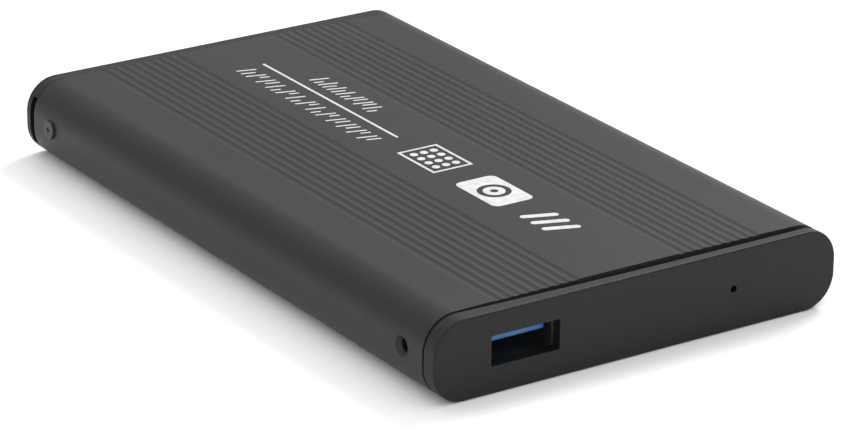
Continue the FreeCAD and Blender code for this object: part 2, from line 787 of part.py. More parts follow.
def recirculation_filter():
    x = drive_half_width - 8.0
    return block(x - 0.9, x + 0.9, pivot_y + 17.2, pivot_y + 21.6, h(floor_top_h), h(casting_top_h - 0.6))


def drive_board():
    half = drive_board_half_width
    low = h(board_screw_head)
    high = h(board_screw_head + drive_board_thick)
    body = rounded_block(-half, half, drive_front + 0.3, drive_front + drive_board_length, low, high, 0.8)
    cuts = [disc(spindle_x, spindle_y, low - 1, high + 1, cup_radius() + 1.1)]
    cuts += [disc(x, y, low - 1, high + 1, 0.7) for x, y in board_screw_places()]
    return without(body, cuts)


def board_insulator():
    half = drive_board_half_width - 0.6
    low = h(floor_under_h - 0.1)
    high = h(floor_under_h)
    body = block(-half, half, sata_mate + 3.0, drive_front + drive_board_length - 0.6, low, high)
    cuts = [disc(spindle_x, spindle_y, low - 1, high + 1, cup_radius() + 1.4)]
    cuts += [disc(x, y, low - 1, high + 1, 1.8) for x, y in board_screw_places()]
    return without(body, cuts)


def drive_board_screws():
    seat = h(board_screw_head)
    return group([pan_screw(x, y, seat, 1.3, board_screw_head - 0.02, 0.6, 1.9, -1)
                  for x, y in board_screw_places()])


def board_chip(x, y, size_x, size_y):
    low = h(board_screw_head + drive_board_thick)
    return chip(x, drive_front + y, low, size_x, size_y, chip_room - 0.12)


def controller_chip():
    return board_chip(9.0, 21.0, 12.0, 12.0)


def memory_chip():
    return board_chip(-10.0, 18.5, 8.0, 10.0)


def motor_driver_chip():
    return board_chip(12.0, 39.0, 7.0, 7.0)


def drive_sata_plug():
    half = sata_blade_thick / 2
    low = h(board_screw_head + drive_board_thick)
    root = block(sata_left - 1.3, sata_right + 1.3, sata_mate, sata_mate + 2.2, low, sata_z + half + 1.4)
    end = sata_mate + 0.5
    blades = [block(a, b, drive_front + 0.3, end, sata_z - half, sata_z + half) for a, b in sata_blades()]
    keys = [block(x, x + 0.2, drive_front + 1.2, end, sata_z - 1.6, sata_z + 1.6)
            for x in (sata_left - 1.4, sata_right + 1.2)]
    return joined([root] + blades + keys)


def drive_sata_contacts():
    low = sata_z - sata_blade_thick / 2
    return group([block(x - 0.3, x + 0.3, drive_front + 0.7, sata_mate - 0.01, low - 0.07, low)
                  for x in contact_places()])


# ---------------------------------------------------------------- spindle
def stator_core():
    yoke = ring(spindle_x, spindle_y, h(1.65), h(2.35), 4.2, 5.6)
    teeth = []
    for i in range(9):
        tooth = block(spindle_x + 5.3, spindle_x + 8.4, spindle_y - 0.45, spindle_y + 0.45, h(1.65), h(2.35))
        tip = sector(spindle_x, spindle_y, h(1.65), h(2.35), 8.2, 8.7, -14, 14)
        teeth.append(turned(tooth.fuse(tip), spindle_x, spindle_y, i * 40))
    return joined([yoke] + teeth)


def stator_coils():
    coils = []
    for i in range(9):
        outer = block(spindle_x + 5.8, spindle_x + 8.0, spindle_y - 1.2, spindle_y + 1.2, h(1.25), h(2.75))
        tooth = block(spindle_x + 5, spindle_x + 9, spindle_y - 0.46, spindle_y + 0.46, h(1.64), h(2.36))
        along = [e for e in outer.Edges if abs(e.Vertexes[0].X - e.Vertexes[-1].X) > 1e-6]
        coils.append(turned(outer.makeFillet(0.3, along).cut(tooth), spindle_x, spindle_y, i * 40))
    return group(coils)


def bearing_radius():
    return shaft_radius + running_clearance + bearing_wall


def bearing_top_h():
    return disk1_h + platter_thick + platter_gap * 0.4


def spindle_bearing():
    bore = shaft_radius + running_clearance
    return ring(spindle_x, spindle_y, h(0.8), h(bearing_top_h()), bore, bearing_radius())


def spindle_shaft():
    return disc(spindle_x, spindle_y, h(1.1), h(disk2_h - 0.3), shaft_radius)


def skirt_radius():
    return platter_bore_radius + 1.2


def spindle_hub():
    boss_top = clamp_h - 0.05
    flange = disc(spindle_x, spindle_y, h(disk1_h - 1.0), h(disk1_h), skirt_radius())
    boss_body = disc(spindle_x, spindle_y, h(disk1_h - 0.5), h(boss_top), platter_bore_radius - 0.02)
    skirt = ring(spindle_x, spindle_y, h(1.3), h(disk1_h - 0.9), skirt_radius() - 0.9, skirt_radius())
    body = joined([flange, boss_body, skirt])
    room = bearing_radius() + 0.3
    cuts = [disc(spindle_x, spindle_y, h(0), h(bearing_top_h() + 0.2), room),
            disc(spindle_x, spindle_y, h(0), h(disk2_h - 0.3), shaft_radius),
            disc(spindle_x, spindle_y, h(0), h(drive_height), 0.8)]
    return without(body, cuts)


def rotor_magnet():
    outer = skirt_radius() - 0.9
    return ring(spindle_x, spindle_y, h(1.3), h(disk1_h - 1.1), outer - 1.2, outer)


def platter(low):
    body = ring(spindle_x, spindle_y, h(low), h(low + platter_thick), platter_bore_radius, platter_radius)
    rims = [e for e in body.Edges if e.Length > 6 * platter_radius]
    return body.makeChamfer(0.1, rims)


def spacer_ring():
    low = disk1_h + platter_thick
    outer = platter_bore_radius + 1.8
    return ring(spindle_x, spindle_y, h(low), h(low + platter_gap), platter_bore_radius, outer)


def disk_clamp():
    radius = platter_bore_radius + 1.5
    body = disc(spindle_x, spindle_y, h(clamp_h), h(clamp_h + clamp_thick), radius)
    dish = disc(spindle_x, spindle_y, h(clamp_h + clamp_thick - 0.25), h(clamp_h + 2), radius - 2.6)
    holes = []
    for i in range(6):
        x, y = polar(spindle_x, spindle_y, radius - 5.6, 60 * i)
        holes.append(disc(x, y, h(clamp_h - 1), h(clamp_h + 2), 0.7))
    return without(body, [dish, disc(spindle_x, spindle_y, h(clamp_h - 1), h(clamp_h + 2), 0.85)] + holes)


def clamp_screw():
    seat = clamp_h + clamp_thick - 0.25
    return pan_screw(spindle_x, spindle_y, h(seat), 2.2, 0.7, 0.8, seat - disk2_h + 0.25, 1)


# ---------------------------------------------------------------- actuator
def arm_levels():
    """Bottom and top of the three arms, below, between and above the platters."""
    gap_mid = disk1_h + platter_thick + platter_gap / 2
    return [(floor_top_h + 0.3, disk1_h - 0.45),
            (gap_mid - platter_gap / 2 + 0.45, gap_mid + platter_gap / 2 - 0.45),
            (clamp_h + 0.45, clamp_h + 1.1)]


def suspension_levels():
    """Bottom of each of the four load beams, and +1 where its slider is on top."""
    (_, low_top), (mid_low, mid_top), (high_low, _) = arm_levels()
    return [(low_top, 1), (mid_low - 0.12, -1), (mid_top, 1), (high_low - 0.12, -1)]


def from_park(shape):
    """Put something drawn along +X from the pivot where the parked arm points."""
    copy = shape.copy()
    copy.translate(FreeCAD.Vector(pivot_x, pivot_y, 0))
    return turned(copy, pivot_x, pivot_y, park_angle)


def pivot_shaft():
    return disc(pivot_x, pivot_y, h(floor_top_h), h(cover_h - 0.15), shaft_radius)


def pivot_bearing():
    low = arm_levels()[0][0]
    high = arm_levels()[2][1]
    return ring(pivot_x, pivot_y, h(low), h(high), shaft_radius + running_clearance, 3.4)


def actuator_arm():
    reach = head_reach * 0.6
    low = arm_levels()[0][0]
    high = arm_levels()[2][1]
    shapes = [disc(0, 0, h(low), h(high), 5.4)]
    for z0, z1 in arm_levels():
        outline = [(0, -4.6), (reach, -1.8), (reach + 0.8, 0), (reach, 1.8), (0, 4.6)]
        arm = plate(outline, h(z0), h(z1))
        shapes.append(arm.cut(disc(reach * 0.55, 0, h(z0) - 1, h(z1) + 1, 1.3)))
    coil_low = coil_h()
    shapes.append(sector(0, 0, h(coil_low), h(coil_low + coil_thick), 4.8, coil_inner_radius - 0.9,
                         180 - 25, 180 + 25))
    return from_park(joined(shapes).cut(disc(0, 0, h(0), h(drive_height), 3.4)))


def coil_h():
    low, high = arm_levels()[1]
    return (low + high - coil_thick) / 2


def coil_shape(low, high, grow):
    outer = sector(0, 0, low, high, coil_inner_radius - grow, coil_outer_radius + grow,
                   180 - coil_half_angle - 2 * grow, 180 + coil_half_angle + 2 * grow)
    return round_upright(outer, 1.2 + grow)


def voice_coil():
    low, high = h(coil_h()), h(coil_h() + coil_thick)
    middle = sector(0, 0, low - 1, high + 1, coil_inner_radius + 2.4, coil_outer_radius - 2.4,
                    180 - coil_half_angle * 0.45, 180 + coil_half_angle * 0.45)
    return from_park(coil_shape(low, high, 0).cut(round_upright(middle, 0.7)))


def coil_overmold():
    low, high = h(coil_h()), h(coil_h() + coil_thick)
    hub_side = sector(0, 0, low, high, coil_inner_radius - 0.9, coil_inner_radius + 0.5, 180 - 25, 180 + 25)
    rim = coil_shape(low + 0.1, high - 0.1, 0.9)
    return from_park(joined([rim, hub_side]).cut(coil_shape(low - 1, high + 1, 0.01)))


def head_suspensions():
    start = head_reach * 0.5
    outline = [(start, -1.7), (head_reach - 2, -0.7), (head_reach + 0.9, -0.35), (head_reach + 2.4, -0.3),
               (head_reach + 2.4, 0.3), (head_reach + 0.9, 0.35), (head_reach - 2, 0.7), (start, 1.7)]
    return group([from_park(plate(outline, h(z), h(z + 0.12))) for z, _ in suspension_levels()])


def head_sliders():
    thick = 0.45 - 0.12 - slider_gap
    sliders = []
    for z, up in suspension_levels():
        low = z + 0.12 if up > 0 else z - thick
        slider = block(head_reach - 0.6, head_reach + 0.6, -0.5, 0.5, h(low), h(low + thick))
        sliders.append(from_park(slider))
    return group(sliders)


def head_ramp():
    """Two ledges that hold the parked load beams apart, on a column beyond their tips."""
    levels = suspension_levels()
    inner = head_reach + 1.2
    low = h(floor_top_h)
    high = h(clamp_h + 0.6)
    column = sector(0, 0, low, high, head_reach + 3.0, head_reach + 5.8, -3.2, 4.2)
    ledges = []
    for i in (0, 2):
        bottom, top = h(levels[i][0] + 0.22), h(levels[i + 1][0] - 0.1)
        ledges.append(sector(0, 0, bottom, top, inner, head_reach + 3.4, -2.6, 3.4))
    return from_park(joined([column] + ledges))


def magnet_sector(z0, z1, r0, r1, margin):
    """Covers the coil's whole swing, which turns clockwise from park."""
    rest = park_angle + 180
    return sector(pivot_x, pivot_y, z0, z1, r0, r1, rest - arm_travel - coil_half_angle - margin,
                  rest + coil_half_angle + margin)


def yoke_posts(z0, z1):
    """Two posts beyond the ends of the coil's swing that hold the plates apart."""
    rest = park_angle + 180
    posts = []
    for angle in (rest - arm_travel - coil_half_angle - 11.5, rest + coil_half_angle + 11.5):
        x, y = polar(pivot_x, pivot_y, 12.0, angle)
        posts.append(disc(x, y, z0, z1, 1.2))
    return posts


def lower_magnet_plate():
    base = magnet_sector(h(floor_top_h), h(floor_top_h + 0.8), 8.0, 16.8, 16)
    return joined([base] + yoke_posts(h(floor_top_h + 0.1), h(upper_plate_h())))


def upper_plate_h():
    return coil_h() + coil_thick + 1.3


def upper_magnet_plate():
    top = upper_plate_h()
    return magnet_sector(h(top), h(top + 0.8), 8.0, 16.8, 16)


def coil_magnets():
    low = floor_top_h + 0.8
    high = coil_h() - 0.45
    lower = magnet_sector(h(low), h(high), 8.6, 16.2, 3)
    top = upper_plate_h()
    upper = magnet_sector(h(coil_h() + coil_thick + 0.45), h(top), 8.6, 16.2, 3)
    return group([lower, upper])


def flex_ends():
    """Where the flexible cable leaves the arm's hub, bends, and enters its bracket."""
    start = polar(pivot_x, pivot_y, 5.55, park_angle + 58)
    end = (start[0] - 6.0, start[1] - 4.6)
    bend = (start[0] - 4.3, start[1] - 0.3)
    return start, bend, end


def flex_bracket():
    _, _, (x, y) = flex_ends()
    return rounded_block(x - 5.0, x + 1.2, y - 3.4, y, h(floor_top_h), h(coil_h() + coil_thick + 0.6), 0.6)


def flex_slot():
    """The opening in the casting's floor under the flexible cable's bracket."""
    _, _, (x, y) = flex_ends()
    return block(x - 4.2, x + 0.4, y - 2.6, y - 0.8, h(floor_under_h - 1), h(floor_top_h + 0.5))


def flex_cable():
    (x0, y0), (xm, ym), (x1, y1) = flex_ends()
    z = h(coil_h() - 0.6)
    path = Part.Arc(FreeCAD.Vector(x0, y0, z), FreeCAD.Vector(xm, ym, z), FreeCAD.Vector(x1, y1, z)).toShape()
    sheet = path.extrude(FreeCAD.Vector(0, 0, coil_thick + 1.2))
    return sheet.makeOffsetShape(0.15, 1e-3, fill=True)


# ---------------------------------------------------------------- latch
def latch_place():
    return polar(pivot_x, pivot_y, 18.4, 45.0)


def latch_h():
    return coil_h() + 0.1


def latch_lever():
    x, y = latch_place()
    low, high = h(latch_h()), h(latch_h() + 1.0)
    hub = disc(x, y, low, high, 1.9)
    lever = plate([(x - 1.2, y), (x + 1.3, y - 9.0), (x + 2.9, y - 9.0), (x + 1.2, y)], low, high)
    hook = block(x + 0.4, x + 2.9, y - 9.6, y - 8.6, low, high)
    return joined([hub, lever, hook]).cut(disc(x, y, low - 1, high + 1, 0.86))


# ---------------------------------------------------------------- write the nodes
nodes = {
    "case_sleeve": case_sleeve(),
    "rear_cap": rear_cap(),
    "rear_screws": group([case_screw(side, rear_screw_y) for side in (-1, 1)]),
    "roof_foam_pad": roof_foam_pad(),
    "front_cap": front_cap(),
    "bridge_board": bridge_board(),
    "board_screws": board_screws(),
    "usb_shell": usb_shell(),
    "usb_tongue": usb_tongue(),
    "usb_contacts": usb_contacts(),
    "sata_socket": sata_socket(),
    "sata_socket_contacts": sata_socket_contacts(),
    "bridge_chip": bridge_chip(),
    "flash_chip": flash_chip(),
    "crystal": crystal(),
    "power_inductor": power_inductor(),
    "board_passives": board_passives(),
    "status_led": status_led(),
    "led_leads": led_leads(),
    "drive_base": drive_base(),
    "drive_cover": drive_cover(),
    "cover_gasket": cover_gasket(),
    "cover_screws": cover_screws(),
    "drive_label": drive_label(),
    "breather_filter": breather_filter(),
    "recirculation_filter": recirculation_filter(),
    "drive_board": drive_board(),
    "board_insulator": board_insulator(),
    "drive_board_screws": drive_board_screws(),
    "controller_chip": controller_chip(),
    "memory_chip": memory_chip(),
    "motor_driver_chip": motor_driver_chip(),
    "drive_sata_plug": drive_sata_plug(),
    "drive_sata_contacts": drive_sata_contacts(),
    "stator_core": stator_core(),
    "stator_coils": stator_coils(),
    "spindle_bearing": spindle_bearing(),
    "head_ramp": head_ramp(),
    "lower_magnet_plate": lower_magnet_plate(),
    "upper_magnet_plate": upper_magnet_plate(),
    "coil_magnets": coil_magnets(),
    "pivot_shaft": pivot_shaft(),
    "flex_bracket": flex_bracket(),
    "flex_cable": flex_cable(),
    "spindle_hub": spindle_hub(),
    "spindle_shaft": spindle_shaft(),
    "rotor_magnet": rotor_magnet(),
    "lower_platter": platter(disk1_h),
    "upper_platter": platter(disk2_h),
    "spacer_ring": spacer_ring(),
    "disk_clamp": disk_clamp(),
    "clamp_screw": clamp_screw(),
    "actuator_arm": actuator_arm(),
    "voice_coil": voice_coil(),
    "coil_overmold": coil_overmold(),
    "pivot_bearing": pivot_bearing(),
    "head_suspensions": head_suspensions(),
    "head_sliders": head_sliders(),
    "latch_lever": latch_lever(),
}

os.makedirs("parts", exist_ok=True)
for name, shape in nodes.items():
    shape.exportStep(f"parts/{name}.step")
    print(f"{name}: {len(shape.Solids)} solid(s), {shape.Volume:.1f} mm3, valid {shape.isValid()}")
print(f"drive {2 * drive_half_width:.2f} x {drive_length:.2f} x {drive_height:.2f}")
print(f"case {2 * case_half:.2f} x {case_length:.2f} x {case_height:.2f}")
print(f"spindle at {spindle_x:.3f}, {spindle_y:.3f}; pivot at {pivot_x:.3f}, {pivot_y:.3f}")
print(f"arm travel {arm_travel:.2f} degrees from {park_angle:.2f}; latch at {latch_place()}")
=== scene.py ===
import bpy
import math
import random
from mathutils import Vector, Matrix, noise


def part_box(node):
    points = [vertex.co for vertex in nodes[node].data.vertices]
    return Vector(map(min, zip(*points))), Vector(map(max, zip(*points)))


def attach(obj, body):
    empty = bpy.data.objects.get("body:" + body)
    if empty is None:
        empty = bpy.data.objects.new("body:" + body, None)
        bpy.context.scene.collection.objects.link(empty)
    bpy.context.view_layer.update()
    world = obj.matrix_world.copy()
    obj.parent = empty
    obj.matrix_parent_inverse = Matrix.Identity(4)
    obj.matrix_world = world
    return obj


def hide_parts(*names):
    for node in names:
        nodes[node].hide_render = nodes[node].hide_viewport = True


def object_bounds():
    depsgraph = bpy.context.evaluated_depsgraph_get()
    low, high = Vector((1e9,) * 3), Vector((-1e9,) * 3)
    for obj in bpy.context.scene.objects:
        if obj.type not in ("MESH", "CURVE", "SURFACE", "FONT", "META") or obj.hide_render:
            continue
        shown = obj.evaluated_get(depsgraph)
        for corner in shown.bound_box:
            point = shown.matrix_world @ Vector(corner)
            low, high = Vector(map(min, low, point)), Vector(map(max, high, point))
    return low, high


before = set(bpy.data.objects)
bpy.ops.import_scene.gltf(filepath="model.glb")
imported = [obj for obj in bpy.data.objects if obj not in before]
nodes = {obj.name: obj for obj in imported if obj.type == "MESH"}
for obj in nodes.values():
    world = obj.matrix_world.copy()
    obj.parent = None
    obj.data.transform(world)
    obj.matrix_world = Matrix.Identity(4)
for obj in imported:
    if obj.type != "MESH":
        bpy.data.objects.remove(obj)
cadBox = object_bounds()
mm = 0.001
print("frame loaded:", len(nodes), "nodes")

# places taken from the frame
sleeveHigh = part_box("case_sleeve")[1]
discLow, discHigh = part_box("upper_platter")
spindle = (discLow + discHigh) / 2
shaftLow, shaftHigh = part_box("pivot_shaft")
pivot = (shaftLow + shaftHigh) / 2


# camera
camera = {
    "target": (2.11 * mm, -0.17 * mm, 1.35 * mm),
    "azimuth": -33.84,
    "elevation": 21.73,
    "roll": 0.68,
    "distance": 704.7 * mm,
    "lens": 176.26,
    "sensor": 36,
    "clip": (0.01, 20),
}


def makeCamera():
    azimuth, elevation = math.radians(camera["azimuth"]), math.radians(camera["elevation"])
    back = Vector((math.sin(azimuth) * math.cos(elevation),
                   -math.cos(azimuth) * math.cos(elevation), math.sin(elevation)))
    right = (-back).cross(Vector((0, 0, 1))).normalized()
    up = right.cross(-back)
    roll = math.radians(camera["roll"])
    tiltedRight = right * math.cos(roll) + up * math.sin(roll)
    tiltedUp = up * math.cos(roll) - right * math.sin(roll)
    data = bpy.data.cameras.new("camera")
    data.lens = camera["lens"]
    data.sensor_width = camera["sensor"]
    data.clip_start, data.clip_end = camera["clip"]
    seat = bpy.data.objects.new("camera", data)
    turn = Matrix((tiltedRight, tiltedUp, back)).transposed().to_4x4()
    place = Vector(camera["target"]) + back * camera["distance"]
    seat.matrix_world = Matrix.Translation(place) @ turn
    bpy.context.scene.collection.objects.link(seat)
    bpy.context.scene.camera = seat


# node and colour helpers
def linear(code):
    parts = [int(code[i:i + 2], 16) / 255 for i in (1, 3, 5)]
    return [c / 12.92 if c <= 0.04045 else ((c + 0.055) / 1.055) ** 2.4 for c in parts] + [1.0]


def addNode(tree, kind, settings=None, links=None):
    made = tree.nodes.new(kind)
    for key, value in (settings or {}).items():
        if isinstance(key, str) and key in made.bl_rna.properties:
            setattr(made, key, value)
        else:
            made.inputs[key].default_value = value
    for key, source in (links or {}).items():
        tree.links.new(source, made.inputs[key])
    return made


def startMaterial(look):
    material = bpy.data.materials.new(look["name"])
    material.use_nodes = True
    tree = material.node_tree
    shader = tree.nodes["Principled BSDF"]
    for key, value in look.get("shader", {}).items():
        shader.inputs[key].default_value = value
    place = addNode(tree, "ShaderNodeTexCoord").outputs["Object"]
    return material, tree, shader, place


evenly = (1, 1, 1)
# noise keeps to this part of its range, which is spread over a finish's two colours and two roughnesses
noiseSpan = {"From Min": 0.3, "From Max": 0.7}
# a wave texture makes about this many rings or bands to one unit of its scale
wavesPerUnit = 20


def laySkin(tree, shader, place, look, pattern=None):
    # every finish has a broad patch that shifts its colour, and a fine grain, felt in its gloss and relief;
    # a pattern such as tool rings or a weave takes the grain's place
    layers = []
    for size, stretch, detail in [look["patch"]] if pattern else [look["patch"], look["grain"]]:
        scaled = addNode(tree, "ShaderNodeMapping", {"Scale": [1 / (size * mm * s) for s in stretch]},
                         {"Vector": place})
        layers.append(addNode(tree, "ShaderNodeTexNoise", {"Scale": 1.0, "Detail": detail},
                              {"Vector": scaled.outputs[0]}).outputs["Fac"])
    patch, fine = layers[0], pattern or layers[-1]
    low, high = look["roughness"]
    tone = addNode(tree, "ShaderNodeMapRange", noiseSpan, {"Value": patch})
    colour = addNode(tree, "ShaderNodeMix",
                     {"data_type": "RGBA", 6: linear(look["dark"]), 7: linear(look["light"])},
                     {0: tone.outputs[0]}).outputs[2]
    rough = addNode(tree, "ShaderNodeMapRange", {**noiseSpan, "To Min": low, "To Max": high}, {"Value": fine})
    relief = addNode(tree, "ShaderNodeBump", {"Strength": look["strength"], "Distance": look["depthMm"] * mm},
                     {"Height": fine}).outputs[0]
    tree.links.new(colour, shader.inputs["Base Color"])
    tree.links.new(rough.outputs[0], shader.inputs["Roughness"])
    tree.links.new(relief, shader.inputs["Normal"])
    return colour, relief


# Anodised aluminium, extruded then etched: satin grey with faint lengthwise die lines and a fine etched
# grain. Its sawn ends are paler, as bare metal shows through the thin colour on the cut.
anodised = {
    "name": "anodised_aluminium",
    "dark": "#2B2B2B",
    "light": "#313131",
    "cutEnd": "#4A4A4A",
    "roughness": (0.44, 0.52),
    # etch pits are about 0.05 mm across and die lines 0.1 mm apart, both drawn coarser so that they show
    "grain": (0.35, evenly, 2.0),
    "patch": (22, (1, 2.5, 1), 2.0),
    "dieLines": (0.5, (1, 160, 1), 2.0),
    "depthMm": 0.006,
    "strength": 0.5,
    "lineDepthMm": 0.004,
    "lineStrength": 0.35,
    "linePaleness": {"From Min": 0.4, "From Max": 0.8, "To Max": 0.5},
    "sawnFacing": {"From Min": 0.9, "From Max": 1.0, "To Max": 0.7},   # how squarely an end faces along Y
    "shader": {"Metallic": 0.55, "Specular IOR Level": 0.35},
}


def anodisedAluminium():
    look = anodised
    material, tree, shader, place = startMaterial(look)
    colour, relief = laySkin(tree, shader, place, look)
    size, stretch, detail = look["dieLines"]
    scaled = addNode(tree, "ShaderNodeMapping", {"Scale": [1 / (size * mm * s) for s in stretch]},
                     {"Vector": place})
    lines = addNode(tree, "ShaderNodeTexNoise", {"Scale": 1.0, "Detail": detail},
                    {"Vector": scaled.outputs[0]}).outputs["Fac"]
    streak = addNode(tree, "ShaderNodeMapRange", look["linePaleness"], {"Value": lines})
    colour = addNode(tree, "ShaderNodeMix", {"data_type": "RGBA", 7: linear(look["light"])},
                     {0: streak.outputs[0], 6: colour}).outputs[2]
    normal = addNode(tree, "ShaderNodeTexCoord").outputs["Normal"]
    facing = addNode(tree, "ShaderNodeSeparateXYZ", {}, {0: normal}).outputs["Y"]
    endways = addNode(tree, "ShaderNodeMath", {"operation": "ABSOLUTE"}, {0: facing})
    sawn = addNode(tree, "ShaderNodeMapRange", look["sawnFacing"], {"Value": endways.outputs[0]})
    colour = addNode(tree, "ShaderNodeMix", {"data_type": "RGBA", 7: linear(look["cutEnd"])},
                     {0: sawn.outputs[0], 6: colour}).outputs[2]
    tree.links.new(colour, shader.inputs["Base Color"])
    drawn = addNode(tree, "ShaderNodeBump",
                    {"Strength": look["lineStrength"], "Distance": look["lineDepthMm"] * mm},
                    {"Height": lines, "Normal": relief})
    tree.links.new(drawn.outputs[0], shader.inputs["Normal"])
    return material


# Moulded plastics, films, ceramics and inks, each with a note of what it is, how its surface was made and what
# that gives the eye. A real grain is often under 0.1 mm, so it is drawn at 0.1 mm or more to show.
moulded = {
    # ABS from a spark-eroded mould: matt black, with flow marks and an even texture of 0.1 mm pits, which is
    # drawn coarser so that it shows
    "caps": {"name": "moulded_abs", "dark": "#101010", "light": "#131313", "roughness": (0.50, 0.60),
             "grain": (0.42, evenly, 4.0), "patch": (18, (2, 1, 1), 3.0), "depthMm": 0.02, "strength": 0.45,
             "shader": {"IOR": 1.54, "Specular IOR Level": 0.3}},
    # glass-filled polymer, moulded blue: even and slightly glossy
    "tongue": {"name": "blue_polymer", "dark": "#1F66A2", "light": "#2A78B6", "roughness": (0.34, 0.46),
               "grain": (0.3, evenly, 4.0), "patch": (5, evenly, 3.0), "depthMm": 0.006, "strength": 0.6,
               "shader": {"IOR": 1.60}},
    # glass-filled polymer, moulded black: satin, with a trace of fibre at the skin
    "connector": {"name": "connector_polymer", "dark": "#141415", "light": "#1E1E20",
                  "roughness": (0.42, 0.55), "grain": (0.25, (1, 3, 1), 4.0), "patch": (4.5, evenly, 3.0),
                  "depthMm": 0.008, "strength": 0.6, "shader": {"IOR": 1.60}},
    # silica-filled epoxy, transfer moulded: dull charcoal with a sandy grain
    "chip": {"name": "chip_epoxy", "dark": "#1A1B1D", "light": "#242527", "roughness": (0.55, 0.68),
             "grain": (0.18, evenly, 4.0), "patch": (3.2, evenly, 3.0), "depthMm": 0.012, "strength": 0.6,
             "shader": {"IOR": 1.55}},
    # acetal, moulded: creamy, smooth and slippery
    "ramp": {"name": "moulded_acetal", "dark": "#D8D3C2", "light": "#E4E0D2", "roughness": (0.25, 0.35),
             "grain": (0.5, evenly, 3.0), "patch": (9, evenly, 3.0), "depthMm": 0.003, "strength": 0.6,
             "shader": {"IOR": 1.48}},
    # polyester film, rolled and die cut: smooth grey black with a slow ripple
    "insulator": {"name": "polyester_film", "dark": "#1B1B1D", "light": "#232325", "roughness": (0.30, 0.40),
                  "grain": (2.0, evenly, 3.0), "patch": (30, evenly, 3.0), "depthMm": 0.02, "strength": 0.6,
                  "shader": {"IOR": 1.58}},
    # rubber, dispensed and cured in place: soft, dull and slightly lumpy
    "gasket": {"name": "cured_rubber", "dark": "#18181A", "light": "#202022", "roughness": (0.62, 0.75),
               "grain": (0.3, evenly, 4.0), "patch": (5.5, evenly, 3.0), "depthMm": 0.01, "strength": 0.6,
               "shader": {"IOR": 1.50}},
    # polyimide film over copper: glossy amber
    "flex": {"name": "polyimide_film", "dark": "#8A4A12", "light": "#A9611F", "roughness": (0.22, 0.32),
             "grain": (1.2, evenly, 3.0), "patch": (6, (1, 1, 3), 3.0), "depthMm": 0.003, "strength": 0.6,
             "shader": {"IOR": 1.70}},
    # hard ceramic, lapped: nearly black with a fine even gloss
    "slider": {"name": "lapped_ceramic", "dark": "#2A2A2C", "light": "#333335", "roughness": (0.20, 0.30),
               "grain": (0.1, evenly, 3.0), "patch": (1.8, evenly, 3.0), "depthMm": 0.001, "strength": 0.6,
               "shader": {"IOR": 1.80}},
    # barium ceramic, sintered: tan and slightly porous
    "capacitor": {"name": "capacitor_ceramic", "dark": "#8C7148", "light": "#A08358",
                  "roughness": (0.38, 0.50), "grain": (0.2, evenly, 4.0), "patch": (1.2, evenly, 3.0),
                  "depthMm": 0.004, "strength": 0.6, "shader": {"IOR": 1.65}},
    # ferrite, pressed and sintered: dull grey with a gritty skin
    "ferrite": {"name": "sintered_ferrite", "dark": "#3A3A3D", "light": "#47474A", "roughness": (0.50, 0.65),
                "grain": (0.3, evenly, 4.0), "patch": (5, evenly, 3.0), "depthMm": 0.015, "strength": 0.6,
                "shader": {"IOR": 1.90}},
    # polyester label film: almost smooth, with a slight pull where it was laid on
    "label": {"name": "label_film", "dark": "#B4B4B1", "light": "#C4C4C1", "roughness": (0.44, 0.54),
              "grain": (0.6, evenly, 3.0), "patch": (14, (1, 3, 1), 3.0), "depthMm": 0.01, "strength": 0.4,
              "shader": {"IOR": 1.5}},
    # epoxy cast clear round the light's chip: water white and glossy, with a slight cloud
    "lens": {"name": "clear_epoxy", "dark": "#C9CDD3", "light": "#E3E6EA", "roughness": (0.08, 0.2),
             "grain": (0.8, evenly, 2.0), "patch": (1.5, evenly, 2.0), "depthMm": 0.001, "strength": 0.3,
             "shader": {"IOR": 1.55, "Transmission Weight": 0.85}},
    # white ink, screen printed: nearly opaque, a little thin at random spots (mesh of 0.1 mm, drawn coarser)
    "ink": {"name": "screen_ink", "dark": "#BEBEBD", "light": "#D6D6D4", "roughness": (0.42, 0.56),
            "grain": (0.35, evenly, 4.0), "patch": (1.4, evenly, 4.0), "depthMm": 0.006, "strength": 0.5,
            "shader": {"IOR": 1.5}},
    # ink overprinted on the label: flat dark grey
    "labelInk": {"name": "label_ink", "dark": "#3A3C40", "light": "#4A4C50", "roughness": (0.45, 0.58),
                 "grain": (0.3, evenly, 3.0), "patch": (2.0, evenly, 3.0), "depthMm": 0.003, "strength": 0.4,
                 "shader": {"IOR": 1.5}},
}

